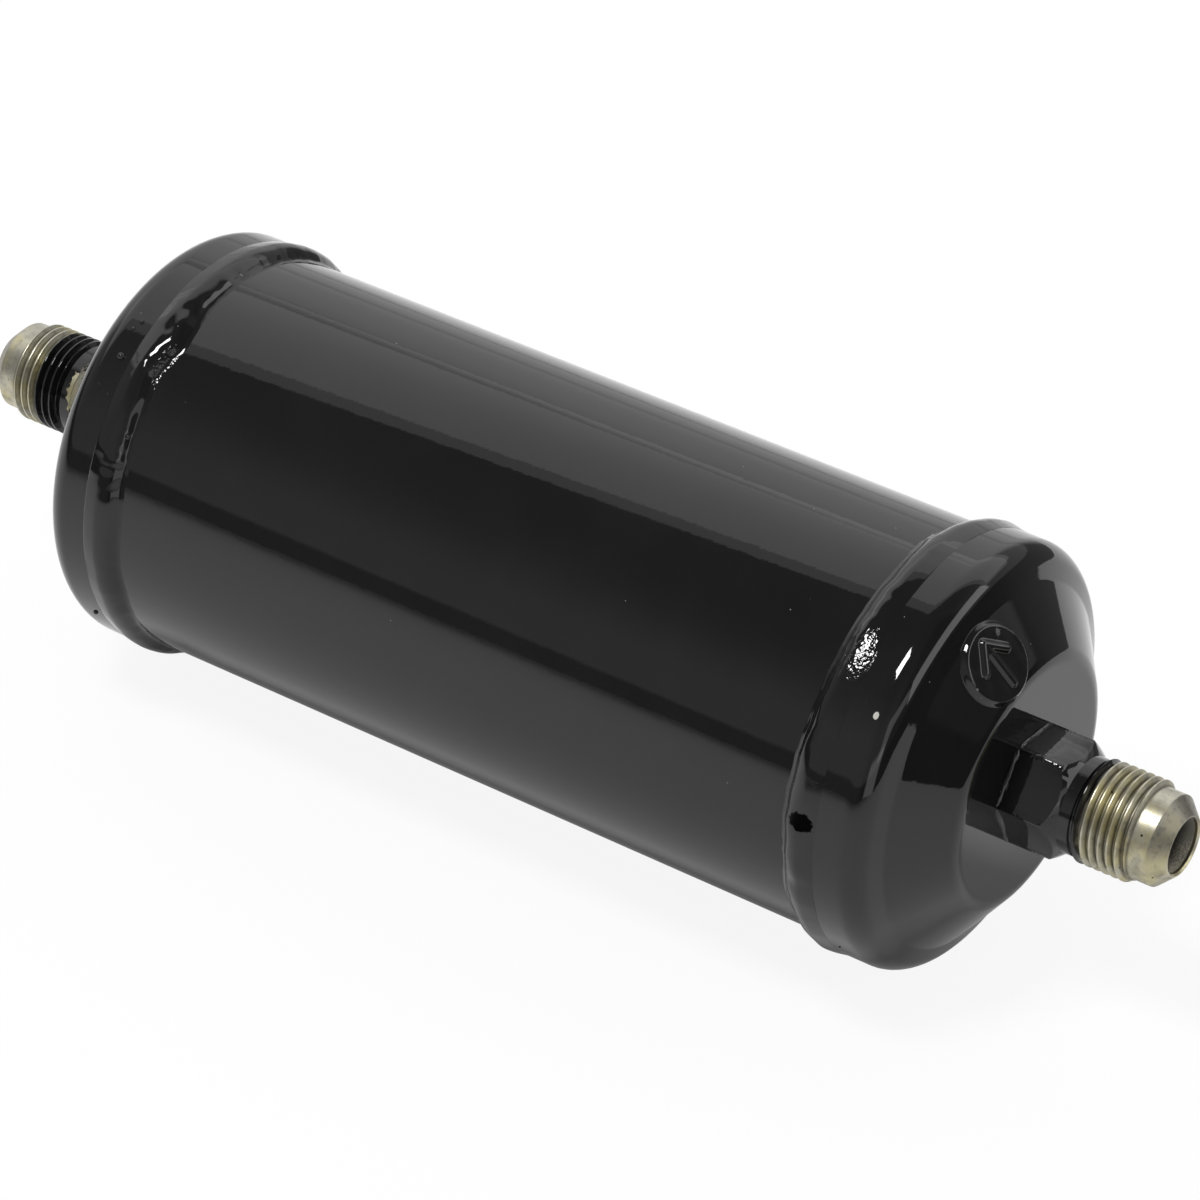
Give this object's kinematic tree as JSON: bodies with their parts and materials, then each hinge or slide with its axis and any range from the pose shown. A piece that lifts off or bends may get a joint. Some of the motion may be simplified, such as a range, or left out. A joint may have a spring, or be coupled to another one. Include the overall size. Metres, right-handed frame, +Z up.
{
  "type": "refrigerant filter drier",
  "caption": "Welded steel filter drier shell with domed end caps, hexagon flare fittings at both ends and a spring-loaded desiccant core inside.",
  "frame": {"origin": "middle of the drier on its flow axis, which is the centre of its box", "axes": "+X along the flow axis towards the inlet fitting, +Z up"},
  "size_m": [0.215, 0.0678, 0.0678],
  "materials": {
    "shell_paint": "gloss black enamel",
    "plated_steel": "turned steel, yellow passivated zinc",
    "inner_steel": "bright drawn and pressed steel",
    "filter_fibre": "needled polyester felt",
    "desiccant": "bonded granular desiccant"
  },
  "bodies": {
    "root": {"shell_tube": "shell_paint", "inlet_cap": "shell_paint", "outlet_cap": "shell_paint", "inlet_weld": "shell_paint", "outlet_weld": "shell_paint", "inlet_braze": "shell_paint", "outlet_braze": "shell_paint", "inlet_fitting": "plated_steel", "outlet_fitting": "plated_steel", "outlet_plate": "inner_steel", "outlet_mesh": "inner_steel", "spring_plate": "inner_steel", "spring": "inner_steel", "outlet_mat": "filter_fibre", "core_felt": "filter_fibre", "desiccant_core": "desiccant"}
  },
  "joints": []
}
